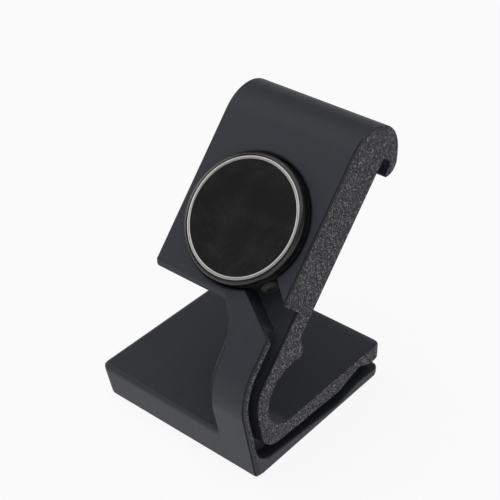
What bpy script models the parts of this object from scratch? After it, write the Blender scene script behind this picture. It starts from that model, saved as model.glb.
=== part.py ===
"""Printed charging dock for a smartwatch, with its magnetic charging puck.

The stand is one printed piece. Its side outline runs from the base plate up a riser that bulges
forward, into a tilted slab with a rounded head and a hooked lip. The riser stands at the right end
only, so that a closed band can pass under the slab from the left. A wavy channel in the right side
holds the puck's lead, and a slot at 45 degrees leads it to the puck's seat in the slab.

X runs to the right, Y to the rear and Z up. The origin is the middle of the footprint, on the table.
"""
import math

import bmesh
import bpy
from mathutils import Euler, Matrix, Vector

MM = 0.001

# Base plate
BASE_WIDTH = 46.0 * MM
BASE_DEPTH = 47.0 * MM
BASE_HEIGHT = 10.0 * MM
BASE_CORNER = 2.2 * MM
BASE_TOP_EDGE = 1.6 * MM
BASE_FOOT_EDGE = 0.5 * MM
BASE_HEEL_EDGE = 2.0 * MM

# Riser
RISER_WIDTH = 9.4 * MM
FRONT_LEAN = math.radians(12.6)
BEND_HEIGHT = 26.1 * MM
BULGE_RADIUS = 14.0 * MM
FLARE_DROP = 4.4 * MM
FLARE_ANGLE = math.radians(45.0)
FLARE_RADIUS = 8.0 * MM

# Slab and head
SLAB_ANGLE = math.radians(48.9)
SLAB_THICKNESS = 12.0 * MM
SLAB_EDGE = 0.4 * MM
SLAB_END_CHAMFER = 1.2 * MM
HEAD_HEIGHT = 71.3 * MM
HEAD_FRONT_RADIUS = 10.0 * MM
HEAD_BACK_RADIUS = 9.0 * MM

# Hooked lip behind the head
LIP_THICKNESS = 2.3 * MM
LIP_END_RADIUS = 3.2 * MM
LIP_TIP_RADIUS = 0.5 * MM
LIP_LENGTH = 3.9 * MM
NOTCH_WIDTH = 4.0 * MM
NOTCH_CORNER = 1.0 * MM
NOTCH_SETBACK = 1.0 * MM

# Scoop and spur behind the riser
RIBBON_THICKNESS = 3.8 * MM
SCOOP_RADIUS = 7.75 * MM
SCOOP_DROP = 0.6 * MM
SPUR_OUT = 4.65 * MM
SPUR_ROOT_RISE = 16.9 * MM
SPUR_ROOT_RADIUS = 0.8 * MM
SPUR_TIP_RADIUS = 1.3 * MM

# Lead channel in the right side
SKIN = 1.4 * MM
LEAD_GAP = 2.6 * MM
CHANNEL_DEPTH = 3.4 * MM
RIBBON_FRONT_RADIUS = 8.6 * MM
RIBBON_FOOT_RADIUS = 6.3 * MM
SKIN_FOOT_RADIUS = 6.5 * MM
CHANNEL_FLOOR = 3.7 * MM
CHANNEL_ROOF = 6.1 * MM
DIP_SETBACK = 17.0 * MM
DIP_FLOOR = 1.2 * MM
DIP_ROOF = 5.0 * MM
CREST_SETBACK = 9.0 * MM
CREST_FLOOR = 2.6 * MM
CREST_ROOF = 7.4 * MM
EXIT_SETBACK = 4.6 * MM
EXIT_FLOOR = 2.0 * MM
EXIT_ROOF = 5.3 * MM
WAVE_RADIUS = 3.0 * MM

# Puck and its seat
PUCK_DIAMETER = 29.0 * MM
PUCK_HEIGHT = 8.3 * MM
SEAT_CLEARANCE = 0.3 * MM
SEAT_WALL = 2.4 * MM
SEAT_DEPTH = 6.3 * MM
SEAT_RISE = 34.8 * MM
SEAT_CHAMFER = 0.5 * MM
LEAD_ANGLE = math.radians(45.0)
SLOT_LOW_ANGLE = math.radians(36.0)
SLOT_MOUTH_RISE = 13.6 * MM
SLOT_MOUTH = 8.0 * MM

# Pieces of the puck
FIT_GAP = 0.3 * MM
SHELL_WALL = 1.2 * MM
SHELL_FLOOR = 1.1 * MM
SHELL_EDGE = 0.8 * MM
HOUSING_HEIGHT = 6.0 * MM
COVER_RIM = 1.8 * MM
COVER_WALL = 1.2 * MM
DISH_DEPTH = 0.7 * MM
SPIGOT_DEPTH = 1.1 * MM
SPIGOT_WALL = 0.9 * MM
MAGNET_DIAMETER = 7.0 * MM
MAGNET_HEIGHT = 2.1 * MM
COIL_WIDTH = 6.4 * MM
COIL_HEIGHT = 1.1 * MM
FERRITE_HEIGHT = 0.6 * MM
BOARD_HEIGHT = 0.8 * MM
BOARD_NOTCH_WIDTH = 5.6 * MM
BOARD_NOTCH_DEPTH = 2.6 * MM
CHIP_SIZE = 4.6 * MM
CHIP_HEIGHT = 0.8 * MM
CAPACITOR_LENGTH = 3.2 * MM
CAPACITOR_WIDTH = 2.5 * MM
CAPACITOR_HEIGHT = 0.8 * MM
CAPACITOR_RING = 8.2 * MM
GLAND_OUTER = 3.5 * MM
GLAND_BORE = 2.2 * MM
GLAND_FLANGE = 4.6 * MM
GLAND_FLANGE_HEIGHT = 0.9 * MM
GLAND_HEIGHT = 3.1 * MM

# How far a cutter runs past the surface that it opens
OVERCUT = 1.0 * MM

# Mesh fineness
SHARP_ANGLE = math.radians(35.0)
ARC_STEP = math.radians(7.0)
SMALL_ARC_STEP = math.radians(20.0)
SMALL_RADIUS = 2.0 * MM
TURN_STEPS = 56
BEVEL_STEPS = 3
WELD = 0.000001

PART_NAME = "smartwatch_charging_dock"
SLAB_ALONG = Vector((math.cos(SLAB_ANGLE), math.sin(SLAB_ANGLE)))
SLAB_INTO = Vector((math.sin(SLAB_ANGLE), -math.cos(SLAB_ANGLE)))
FRONT_ALONG = Vector((-math.sin(FRONT_LEAN), math.cos(FRONT_LEAN)))
FRONT_INTO = Vector((math.cos(FRONT_LEAN), math.sin(FRONT_LEAN)))
LEVEL = Vector((1.0, 0.0))

SEAT_RADIUS = PUCK_DIAMETER / 2 + SEAT_CLEARANCE
SLAB_WIDTH = 2 * (SEAT_RADIUS + SEAT_WALL)
SLAB_START = SEAT_RISE - SEAT_RADIUS - SEAT_WALL
SLAB_START_HEIGHT = BEND_HEIGHT + SLAB_START * math.sin(SLAB_ANGLE)
FLARE_START = SLAB_START_HEIGHT - FLARE_DROP
HEAD_RISE = (HEAD_HEIGHT - BEND_HEIGHT) / math.sin(SLAB_ANGLE)
NOTCH_RISE = HEAD_RISE - NOTCH_SETBACK
SCOOP_TOP = BEND_HEIGHT - SCOOP_DROP
SCOOP_ROUND = min(SCOOP_RADIUS, (SCOOP_TOP - BASE_HEIGHT) / 2)
DIP_PLACE = BASE_DEPTH - DIP_SETBACK
CREST_PLACE = BASE_DEPTH - CREST_SETBACK
EXIT_PLACE = BASE_DEPTH - EXIT_SETBACK
BOARD_BASE = SHELL_FLOOR + FIT_GAP
BOARD_TOP = BOARD_BASE + BOARD_HEIGHT
COVER_BASE = HOUSING_HEIGHT + FIT_GAP
DISH_BOTTOM = PUCK_HEIGHT - DISH_DEPTH
COIL_TOP = DISH_BOTTOM - COVER_WALL - FIT_GAP
FERRITE_TOP = COIL_TOP - COIL_HEIGHT - FIT_GAP
CAVITY_RADIUS = PUCK_DIAMETER / 2 - SHELL_WALL
SPIGOT_RADIUS = CAVITY_RADIUS - FIT_GAP
SLOT_MIDDLE = SEAT_DEPTH / 2


def start_clean():
    """Remove what the file opened with, and make the two collections."""
    for item in list(bpy.data.objects):
        bpy.data.objects.remove(item)
    parts = bpy.data.collections.new(PART_NAME)
    cutters = bpy.data.collections.new("cutters")
    for collection in (parts, cutters):
        bpy.context.scene.collection.children.link(collection)
    return parts, cutters


def make_material(name, colour, roughness, metallic=0.0):
    """A plain Principled material."""
    material = bpy.data.materials.new(name)
    material.use_nodes = True
    shader = material.node_tree.nodes["Principled BSDF"]
    shader.inputs["Base Color"].default_value = (*colour, 1.0)
    shader.inputs["Roughness"].default_value = roughness
    shader.inputs["Metallic"].default_value = metallic
    return material


def crossing(point, direction, other_point, other_direction):
    """Where two lines in the side view meet."""
    between = other_point - point
    share = between.cross(other_direction) / direction.cross(other_direction)
    return point + direction * share


def rounded(corners):
    """An outline from corner points, each with the radius that rounds it."""
    outline = []
    count = len(corners)
    for index, (corner, radius) in enumerate(corners):
        before = corners[index - 1][0] - corner
        after = corners[(index + 1) % count][0] - corner
        if radius == 0.0:
            outline.append(corner.copy())
            continue
        turn = math.pi - before.angle(after)
        reach = radius * math.tan(turn / 2)
        start = corner + before.normalized() * reach
        middle = (before.normalized() + after.normalized()).normalized()
        centre = corner + middle * (radius / math.cos(turn / 2))
        step = SMALL_ARC_STEP if radius < SMALL_RADIUS else ARC_STEP
        steps = max(2, math.ceil(turn / step))
        way = math.copysign(turn, before.cross(after)) * -1.0
        arm = start - centre
        for number in range(steps + 1):
            angle = way * number / steps
            outline.append(centre + Matrix.Rotation(angle, 2) @ arm)
    return outline


def outline_mesh(name, outline, low, high, turn):
    """A flat outline as a filled 2D curve, thickened from low to high and turned into place."""
    curve = bpy.data.curves.new(name, "CURVE")
    curve.dimensions = "2D"
    curve.fill_mode = "BOTH"
    curve.extrude = (high - low) / 2
    kept = []
    for point in outline:
        if not kept or (point - kept[-1]).length > WELD:
            kept.append(point)
    if (kept[0] - kept[-1]).length <= WELD:
        kept.pop()
    spline = curve.splines.new("POLY")
    spline.points.add(len(kept) - 1)
    for place, point in zip(spline.points, kept):
        place.co = (point.x, point.y, 0.0, 1.0)
    spline.use_cyclic_u = True
    carrier = bpy.data.objects.new(name, curve)
    bpy.context.scene.collection.objects.link(carrier)
    bpy.context.view_layer.update()
    graph = bpy.context.evaluated_depsgraph_get()
    mesh = bpy.data.meshes.new_from_object(carrier.evaluated_get(graph))
    bpy.data.objects.remove(carrier)
    mesh.transform(Matrix.Translation((0.0, 0.0, (low + high) / 2)))
    mesh.transform(turn)
    weld(mesh)
    return mesh


def weld(mesh):
    """Join loose caps to their walls and clear the flat cuts between their triangles."""
    edit = bmesh.new()
    edit.from_mesh(mesh)
    bmesh.ops.remove_doubles(edit, verts=edit.verts[:], dist=WELD)
    bmesh.ops.dissolve_degenerate(edit, dist=WELD, edges=edit.edges[:])
    bmesh.ops.dissolve_limit(edit, angle_limit=0.0005, verts=edit.verts[:], edges=edit.edges[:])
    bmesh.ops.recalc_face_normals(edit, faces=edit.faces[:])
    edit.to_mesh(mesh)
    edit.free()


def side_plate(name, outline, low, high):
    """An outline drawn in the side view, thickened along X."""
    return outline_mesh(name, outline, low, high, Euler((math.pi / 2, 0.0, math.pi / 2)).to_matrix().to_4x4())


def front_plate(name, outline, low, high):
    """An outline drawn in the front view, thickened along Y."""
    return outline_mesh(name, outline, -high, -low, Euler((math.pi / 2, 0.0, 0.0)).to_matrix().to_4x4())


def block(low, high, matrix=None):
    """A box between two corners, turned by a matrix if one is given."""
    mesh = bpy.data.meshes.new("block")
    edit = bmesh.new()
    bmesh.ops.create_cube(edit, size=1.0)
    size = Vector(high) - Vector(low)
    middle = (Vector(high) + Vector(low)) / 2
    place = Matrix.Translation(middle) @ Matrix.Diagonal((*size, 1.0))
    bmesh.ops.transform(edit, matrix=place, verts=edit.verts[:])
    if matrix is not None:
        bmesh.ops.transform(edit, matrix=matrix, verts=edit.verts[:])
    edit.to_mesh(mesh)
    edit.free()
    return mesh


def place_object(name, mesh, collection, material=None):
    """An object for a finished mesh."""
    item = bpy.data.objects.new(name, mesh)
    collection.objects.link(item)
    if material is not None:
        mesh.materials.clear()
        mesh.materials.append(material)
    return item


def as_cutter(item):
    """Show a cutter as wire and keep it out of the render."""
    item.hide_render = True
    item.display_type = "WIRE"
    return item


def join_or_cut(item, tool, operation):
    """A Boolean modifier that stays on its object."""
    change = item.modifiers.new(tool.name, "BOOLEAN")
    change.operation = operation
    change.solver = "EXACT"
    change.object = tool


def round_edges(item, width, choose):
    """Bevel the edges that a test picks, each with the share of the width that the test gives."""
    mesh = item.data
    earlier = mesh.attributes.get("bevel_weight_edge")
    if earlier is not None:
        mesh.attributes.remove(earlier)
    weights = mesh.attributes.new("bevel_weight_edge", "FLOAT", "EDGE")
    edit = bmesh.new()
    edit.from_mesh(mesh)
    edit.edges.ensure_lookup_table()
    shares = [choose(edge) for edge in edit.edges]
    edit.free()
    for place, share in enumerate(shares):
        weights.data[place].value = share
    change = item.modifiers.new("edges", "BEVEL")
    change.limit_method = "WEIGHT"
    change.use_clamp_overlap = False
    change.loop_slide = False
    change.width = width
    change.segments = BEVEL_STEPS


def settle(item):
    """Turn an object's modifiers into its mesh."""
    bpy.context.view_layer.update()
    graph = bpy.context.evaluated_depsgraph_get()
    mesh = bpy.data.meshes.new_from_object(item.evaluated_get(graph))
    mesh.name = item.name
    item.modifiers.clear()
    item.data = mesh


def shade_round(item):
    """Shade an object's round faces smooth, and keep its edges sharp."""
    item.data.shade_smooth()
    item.data.set_sharp_from_angle(angle=SHARP_ANGLE)


# Points of the side view, from the foot of the front face
FOOT = Vector((0.0, 0.0))
BEND = FRONT_ALONG * (BEND_HEIGHT / math.cos(FRONT_LEAN))


def on_slab(rise, depth):
    """A point on the slab, by its rise from the bend and its depth behind the front face."""
    return BEND + SLAB_ALONG * rise + SLAB_INTO * depth


def behind_front(depth):
    """A point on the line that lies a depth behind the riser's front face."""
    return FOOT + FRONT_INTO * depth


def foremost(corner, before, after, radius):
    """How far forward a rounded corner reaches."""
    lines = (before.normalized() + after.normalized()).normalized()
    half = (math.pi - before.angle(after)) / 2
    return (corner + lines * (radius / math.cos(half))).x - radius


RIBBON_BEND = crossing(behind_front(SKIN + LEAD_GAP), FRONT_ALONG, on_slab(0.0, SEAT_DEPTH), SLAB_ALONG)
RIBBON_FRONT = foremost(RIBBON_BEND, -FRONT_ALONG, SLAB_ALONG, RIBBON_FRONT_RADIUS)
BULGE_FRONT = foremost(BEND, -FRONT_ALONG, SLAB_ALONG, BULGE_RADIUS)
SCOOP_FRONT = RIBBON_FRONT + RIBBON_THICKNESS
NOTCH_CORNER_POINT = on_slab(NOTCH_RISE, SLAB_THICKNESS + NOTCH_WIDTH)
LIP_BACK = NOTCH_CORNER_POINT.x + LIP_THICKNESS
LIP_TIP = on_slab(NOTCH_RISE - LIP_LENGTH, SLAB_THICKNESS + NOTCH_WIDTH)
ORIGIN_SHIFT = Vector((BASE_WIDTH / 2, -(BULGE_FRONT + LIP_BACK) / 2, 0.0))


def stand_outline():
    """The base, the riser, the slab with its rounded head, the hooked lip and the scoop, in one line."""
    head_front = crossing(BEND, SLAB_ALONG, Vector((0.0, HEAD_HEIGHT)), LEVEL)
    spur_line = on_slab(0.0, SLAB_THICKNESS + SPUR_OUT)
    spur_tip = crossing(spur_line, SLAB_ALONG, Vector((0.0, SCOOP_TOP)), LEVEL)
    return rounded([
        (FOOT, 0.0),
        (BEND, BULGE_RADIUS),
        (head_front, HEAD_FRONT_RADIUS),
        (Vector((LIP_BACK, HEAD_HEIGHT)), HEAD_BACK_RADIUS),
        (Vector((LIP_BACK, LIP_TIP.y)), LIP_END_RADIUS),
        (LIP_TIP, LIP_TIP_RADIUS),
        (NOTCH_CORNER_POINT, NOTCH_CORNER),
        (on_slab(NOTCH_RISE, SLAB_THICKNESS), NOTCH_CORNER),
        (on_slab(SPUR_ROOT_RISE, SLAB_THICKNESS), SPUR_ROOT_RADIUS),
        (spur_tip, SPUR_TIP_RADIUS),
        (Vector((SCOOP_FRONT, SCOOP_TOP)), SCOOP_ROUND),
        (Vector((SCOOP_FRONT, BASE_HEIGHT)), SCOOP_ROUND),
        (Vector((BASE_DEPTH, BASE_HEIGHT)), 0.0),
        (Vector((BASE_DEPTH, 0.0)), 0.0),
    ])


def gap_side_outline():
    """The side view of the space between the base and the slab's lower end, for a closed band."""
    clear = SLAB_START + SLAB_END_CHAMFER + OVERCUT
    front = on_slab(clear, -HEAD_HEIGHT / 2)
    back = on_slab(clear, HEAD_HEIGHT / 2)
    return rounded([
        (front, 0.0),
        (on_slab(clear, -OVERCUT), 0.0),
        (on_slab(SLAB_START, SLAB_END_CHAMFER), SLAB_END_CHAMFER),
        (on_slab(SLAB_START, SLAB_THICKNESS - SLAB_END_CHAMFER), SLAB_END_CHAMFER),
        (on_slab(clear, SLAB_THICKNESS + OVERCUT), 0.0),
        (Vector((back.x, HEAD_HEIGHT / 2)), 0.0),
        (Vector((back.x, SCOOP_TOP)), 0.0),
        (Vector((SCOOP_FRONT + SCOOP_ROUND, BASE_HEIGHT)), 0.0),
        (Vector((front.x, BASE_HEIGHT)), 0.0),
    ])


def gap_front_outline():
    """The front view of the same space, left of the riser and of its flare into the slab."""
    low = -HEAD_HEIGHT
    high = HEAD_HEIGHT
    flare_reach = (high - FLARE_START) * math.tan(FLARE_ANGLE)
    left = -2 * BASE_WIDTH
    return rounded([
        (Vector((-RISER_WIDTH, low)), 0.0),
        (Vector((-RISER_WIDTH, FLARE_START)), FLARE_RADIUS),
        (Vector((-RISER_WIDTH - flare_reach, high)), 0.0),
        (Vector((left, high)), 0.0),
        (Vector((left, low)), 0.0),
    ])


def channel_outline():
    """The lead's channel between the thin front skin and the ribbon, and its wave in the base."""
    out = BASE_DEPTH + OVERCUT
    top = SLOT_MOUTH_RISE + SLOT_MOUTH / 2
    level = Vector((0.0, CHANNEL_FLOOR))
    roof = Vector((0.0, CHANNEL_ROOF))
    skin_line = behind_front(SKIN)
    skin_bend = crossing(skin_line, FRONT_ALONG, on_slab(0.0, SKIN), SLAB_ALONG)
    ribbon_line = behind_front(SKIN + LEAD_GAP)
    return rounded([
        (on_slab(top, SKIN), 0.0),
        (on_slab(top, SEAT_DEPTH), 0.0),
        (RIBBON_BEND, RIBBON_FRONT_RADIUS),
        (crossing(ribbon_line, FRONT_ALONG, roof, LEVEL), RIBBON_FOOT_RADIUS),
        (Vector((DIP_PLACE, DIP_ROOF)), WAVE_RADIUS),
        (Vector((CREST_PLACE, CREST_ROOF)), WAVE_RADIUS / 2),
        (Vector((EXIT_PLACE, EXIT_ROOF)), WAVE_RADIUS / 2),
        (Vector((out, EXIT_ROOF)), 0.0),
        (Vector((out, EXIT_FLOOR)), 0.0),
        (Vector((CREST_PLACE, CREST_FLOOR)), WAVE_RADIUS),
        (Vector((DIP_PLACE, DIP_FLOOR)), WAVE_RADIUS * 2),
        (crossing(skin_line, FRONT_ALONG, level, LEVEL), SKIN_FOOT_RADIUS),
        (skin_bend, BULGE_RADIUS - SKIN),
    ])


def base_edge_share(edge):
    """The base's rounding: its corners at the left and the back, its edges on top and at the foot."""
    ends = [corner.co for corner in edge.verts]
    middle = (ends[0] + ends[1]) / 2
    span = ends[0] - ends[1]
    if not edge.is_convex or max(end.z for end in ends) > BASE_HEIGHT + WELD:
        return 0.0
    upright = abs(span.z) > BASE_HEIGHT / 2
    at_back = middle.y > BASE_DEPTH - WELD
    if middle.x > -WELD:
        return 1.0 if upright and at_back else 0.0
    if upright:
        return 1.0
    if middle.z > BASE_HEIGHT / 2:
        return BASE_TOP_EDGE / BASE_CORNER
    if at_back:
        return BASE_HEEL_EDGE / BASE_CORNER
    return BASE_FOOT_EDGE / BASE_CORNER


def left_edge_share(edge):
    """The small rounding along the riser's front left edge and around the slab's left end."""
    if len(edge.link_faces) != 2 or not edge.is_convex or edge.calc_face_angle() < math.radians(40.0):
        return 0.0
    ends = [corner.co for corner in edge.verts]
    above = max(end.z for end in ends) > BASE_HEIGHT + WELD
    looks_left = min(face.normal.x for face in edge.link_faces) < -0.5
    looks_forward = min(face.normal.y for face in edge.link_faces) < -0.3
    at_end = max(end.x for end in ends) < -SLAB_WIDTH + WELD
    return SLAB_EDGE / BASE_CORNER if above and looks_left and (looks_forward or at_end) else 0.0


def slot_outline():
    """The lead's slot in the slab's front, from its mouth in the right side to the seat."""
    mouth_low = Vector((SLAB_WIDTH / 2, SLOT_MOUTH_RISE - SEAT_RISE))
    mouth_high = mouth_low + Vector((0.0, SLOT_MOUTH))
    low_way = Vector((math.cos(SLOT_LOW_ANGLE), -math.sin(SLOT_LOW_ANGLE)))
    high_way = Vector((math.cos(LEAD_ANGLE), -math.sin(LEAD_ANGLE)))
    return [
        mouth_low + low_way * OVERCUT,
        mouth_high + high_way * OVERCUT,
        mouth_high - high_way * SEAT_RADIUS,
        mouth_low - low_way * SEAT_RADIUS,
    ]


def seat_frame():
    """Where the puck stands: its middle on the seat's floor, with +Z out of the slab."""
    floor = on_slab(SEAT_RISE, SEAT_DEPTH)
    place = Vector((-SLAB_WIDTH / 2, floor.x, floor.y)) + ORIGIN_SHIFT
    return Matrix.Translation(place) @ Matrix.Rotation(SLAB_ANGLE, 4, "X")


def turned(name, profile, collection, material=None):
    """A turned piece: a profile at +X, down its outer side, with a Screw modifier about Z."""
    mesh = bpy.data.meshes.new(name)
    points = [(x, 0.0, z) for x, z in profile]
    closed = profile[0][0] > WELD and profile[-1][0] > WELD
    edges = [(n, n + 1) for n in range(len(points) - 1)]
    if closed:
        edges.append((len(points) - 1, 0))
    mesh.from_pydata(points, edges, [])
    item = place_object(name, mesh, collection, material)
    change = item.modifiers.new("turn", "SCREW")
    change.steps = TURN_STEPS
    change.render_steps = TURN_STEPS
    change.use_merge_vertices = True
    change.merge_threshold = WELD
    change.use_smooth_shade = False
    return item


def quarter(centre_x, centre_z, radius, start, end, steps=4):
    """Points of an arc in a turned profile, from one angle to another."""
    points = []
    for number in range(steps + 1):
        angle = math.radians(start + (end - start) * number / steps)
        points.append((centre_x + radius * math.cos(angle), centre_z + radius * math.sin(angle)))
    return points


def make_body(parts, cutters, material):
    """The printed stand: one side outline, less the space for the band, the channel, slot and seat."""
    body_mesh = side_plate("dock_body", stand_outline(), -BASE_WIDTH, 0.0)
    body = place_object("dock_body", body_mesh, parts, material)
    gap_mesh = side_plate("gap_tool", gap_side_outline(), -2 * BASE_WIDTH, BASE_WIDTH)
    gap = place_object("gap_tool", gap_mesh, cutters)
    gap_face_mesh = front_plate("gap_face_tool", gap_front_outline(), -2 * BASE_DEPTH, 2 * BASE_DEPTH)
    gap_face = place_object("gap_face_tool", gap_face_mesh, cutters)
    join_or_cut(gap, gap_face, "INTERSECT")
    side_mesh = block((-2 * BASE_WIDTH, -BASE_DEPTH, BASE_HEIGHT), (-SLAB_WIDTH, 2 * BASE_DEPTH, 2 * HEAD_HEIGHT))
    side = place_object("side_tool", side_mesh, cutters)
    join_or_cut(body, gap, "DIFFERENCE")
    join_or_cut(body, side, "DIFFERENCE")
    settle(body)
    weld(body.data)
    round_edges(body, BASE_CORNER, lambda edge: max(base_edge_share(edge), left_edge_share(edge)))

    channel = place_object("channel_tool", side_plate("channel_tool", channel_outline(), -CHANNEL_DEPTH, OVERCUT), cutters)
    seat_profile = [
        (0.0, SEAT_DEPTH + SEAT_CHAMFER),
        (SEAT_RADIUS + 2 * SEAT_CHAMFER, SEAT_DEPTH + SEAT_CHAMFER),
        (SEAT_RADIUS, SEAT_DEPTH - SEAT_CHAMFER),
        (SEAT_RADIUS, 0.0),
        (0.0, 0.0),
    ]
    seat = turned("seat_tool", seat_profile, cutters)
    slot_mesh = outline_mesh("slot_tool", slot_outline(), 0.0, 2 * SEAT_DEPTH, Matrix.Identity(4))
    slot = place_object("slot_tool", slot_mesh, cutters)

    home = Matrix.Translation(ORIGIN_SHIFT)
    for item in (body, gap, gap_face, side, channel):
        item.matrix_world = home
    for item in (seat, slot):
        item.matrix_world = seat_frame()

    for tool in (channel, slot, seat):
        join_or_cut(body, tool, "DIFFERENCE")
    for tool in (gap, gap_face, side, channel, slot, seat):
        as_cutter(tool)
    return body


def make_housing(parts, cutters, seat, material):
    """The puck's lower shell, a cup with a hole in its wall for the gland."""
    outer = PUCK_DIAMETER / 2
    profile = [(CAVITY_RADIUS, HOUSING_HEIGHT), (outer, HOUSING_HEIGHT)]
    profile += quarter(outer - SHELL_EDGE, SHELL_EDGE, SHELL_EDGE, 0, -90)
    profile += [(0.0, 0.0), (0.0, SHELL_FLOOR), (CAVITY_RADIUS, SHELL_FLOOR), (CAVITY_RADIUS, HOUSING_HEIGHT)]
    first = profile.index((0.0, 0.0))
    profile = profile[first + 1:-1] + profile[:first + 1]
    housing = turned("puck_housing", profile, parts, material)
    housing.parent = seat

    hole_mesh = bpy.data.meshes.new("gland_hole_tool")
    edit = bmesh.new()
    radius = GLAND_OUTER / 2 + FIT_GAP
    bmesh.ops.create_cone(edit, cap_ends=True, segments=24, radius1=radius, radius2=radius, depth=3 * SHELL_WALL)
    edit.to_mesh(hole_mesh)
    edit.free()
    hole = place_object("gland_hole_tool", hole_mesh, cutters)
    hole.parent = seat
    hole.location = lead_point(outer - SHELL_WALL / 2)
    hole.rotation_euler = Euler((0.0, math.pi / 2, -LEAD_ANGLE))
    join_or_cut(housing, as_cutter(hole), "DIFFERENCE")
    return housing


def lead_point(reach):
    """A point on the lead's way into the puck, by its distance from the puck's middle."""
    return Vector((reach * math.cos(LEAD_ANGLE), -reach * math.sin(LEAD_ANGLE), SLOT_MIDDLE))


def make_gland(parts, seat, material):
    """The rubber bush in the housing's wall, with its flange outside."""
    outer = GLAND_OUTER / 2
    bore = GLAND_BORE / 2
    flange = GLAND_FLANGE / 2
    wall_outside = GLAND_HEIGHT - GLAND_FLANGE_HEIGHT
    profile = [
        (bore, GLAND_HEIGHT),
        (flange * 0.8, GLAND_HEIGHT),
        (flange, GLAND_HEIGHT - GLAND_FLANGE_HEIGHT / 2),
        (flange, wall_outside),
        (outer, wall_outside),
        (outer, 0.0),
        (bore, 0.0),
    ]
    gland = turned("lead_gland", profile, parts, material)
    gland.parent = seat
    start = PUCK_DIAMETER / 2 + FIT_GAP - wall_outside
    gland.location = lead_point(start)
    gland.rotation_euler = Euler((0.0, math.pi / 2, -LEAD_ANGLE))
    return gland


def make_cover(parts, seat, material):
    """The puck's upper shell: a dished top with a rim, and a spigot that centres it in the housing."""
    outer = PUCK_DIAMETER / 2
    dish = outer - COVER_RIM
    spigot_inner = SPIGOT_RADIUS - SPIGOT_WALL
    sphere = (dish ** 2 + DISH_DEPTH ** 2) / (2 * DISH_DEPTH)
    steps = 8
    profile = []
    for number in range(steps + 1):
        x = dish * number / steps
        profile.append((x, DISH_BOTTOM + sphere - math.sqrt(sphere ** 2 - x ** 2)))
    profile += quarter(outer - SHELL_EDGE, PUCK_HEIGHT - SHELL_EDGE, SHELL_EDGE, 90, 0)
    profile += [
        (outer, COVER_BASE),
        (SPIGOT_RADIUS, COVER_BASE),
        (SPIGOT_RADIUS, COVER_BASE - SPIGOT_DEPTH),
        (spigot_inner, COVER_BASE - SPIGOT_DEPTH),
        (spigot_inner, DISH_BOTTOM - COVER_WALL),
        (0.0, DISH_BOTTOM - COVER_WALL),
    ]
    cover = turned("puck_cover", profile, parts, material)
    cover.parent = seat
    return cover


def make_ring(name, bore, radius, low, high, parts, seat, material):
    """A flat turned ring, or a disc where the bore is nothing."""
    profile = [(bore, high), (radius, high), (radius, low), (bore, low)]
    ring = turned(name, profile, parts, material)
    ring.parent = seat
    return ring


def make_inside(parts, cutters, seat, materials):
    """What the puck holds: magnet, coil, ferrite sheet and the board with its parts."""
    magnet = MAGNET_DIAMETER / 2
    coil_bore = magnet + 5 * FIT_GAP
    coil = coil_bore + COIL_WIDTH
    make_ring("alignment_magnet", 0.0, magnet, COIL_TOP - MAGNET_HEIGHT, COIL_TOP, parts, seat, materials["magnet"])
    make_ring("charging_coil", coil_bore, coil, COIL_TOP - COIL_HEIGHT, COIL_TOP, parts, seat, materials["copper"])
    make_ring("ferrite_sheet", magnet + FIT_GAP, coil, FERRITE_TOP - FERRITE_HEIGHT, FERRITE_TOP,
              parts, seat, materials["ferrite"])

    board_radius = CAVITY_RADIUS - FIT_GAP
    board = make_ring("circuit_board", 0.0, board_radius, BOARD_BASE, BOARD_TOP, parts, seat, materials["board"])
    notch_low = (board_radius - BOARD_NOTCH_DEPTH, -BOARD_NOTCH_WIDTH / 2, 0.0)
    notch_high = (2 * board_radius, BOARD_NOTCH_WIDTH / 2, HOUSING_HEIGHT)
    notch_mesh = block(notch_low, notch_high, Matrix.Rotation(-LEAD_ANGLE, 4, "Z"))
    notch = place_object("board_notch_tool", notch_mesh, cutters)
    notch.parent = seat
    join_or_cut(board, as_cutter(notch), "DIFFERENCE")

    chip_place = Vector((-CAPACITOR_RING / 2, CAPACITOR_RING / 2, BOARD_TOP + FIT_GAP + CHIP_HEIGHT / 2))
    chip_mesh = small_box(chip_place, (CHIP_SIZE, CHIP_SIZE, CHIP_HEIGHT))
    place_object("charging_chip", chip_mesh, parts, materials["chip"]).parent = seat

    height = BOARD_TOP + FIT_GAP + CAPACITOR_HEIGHT / 2
    capacitor_place = Vector((CAPACITOR_RING / 2, CAPACITOR_RING / 2, height))
    size = (CAPACITOR_LENGTH, CAPACITOR_WIDTH, CAPACITOR_HEIGHT)
    capacitor_mesh = small_box(capacitor_place, size)
    place_object("board_capacitor", capacitor_mesh, parts, materials["capacitor"]).parent = seat


def small_box(place, size):
    """A small box on the board."""
    half = Vector(size) / 2
    return block(place - half, place + half)


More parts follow.
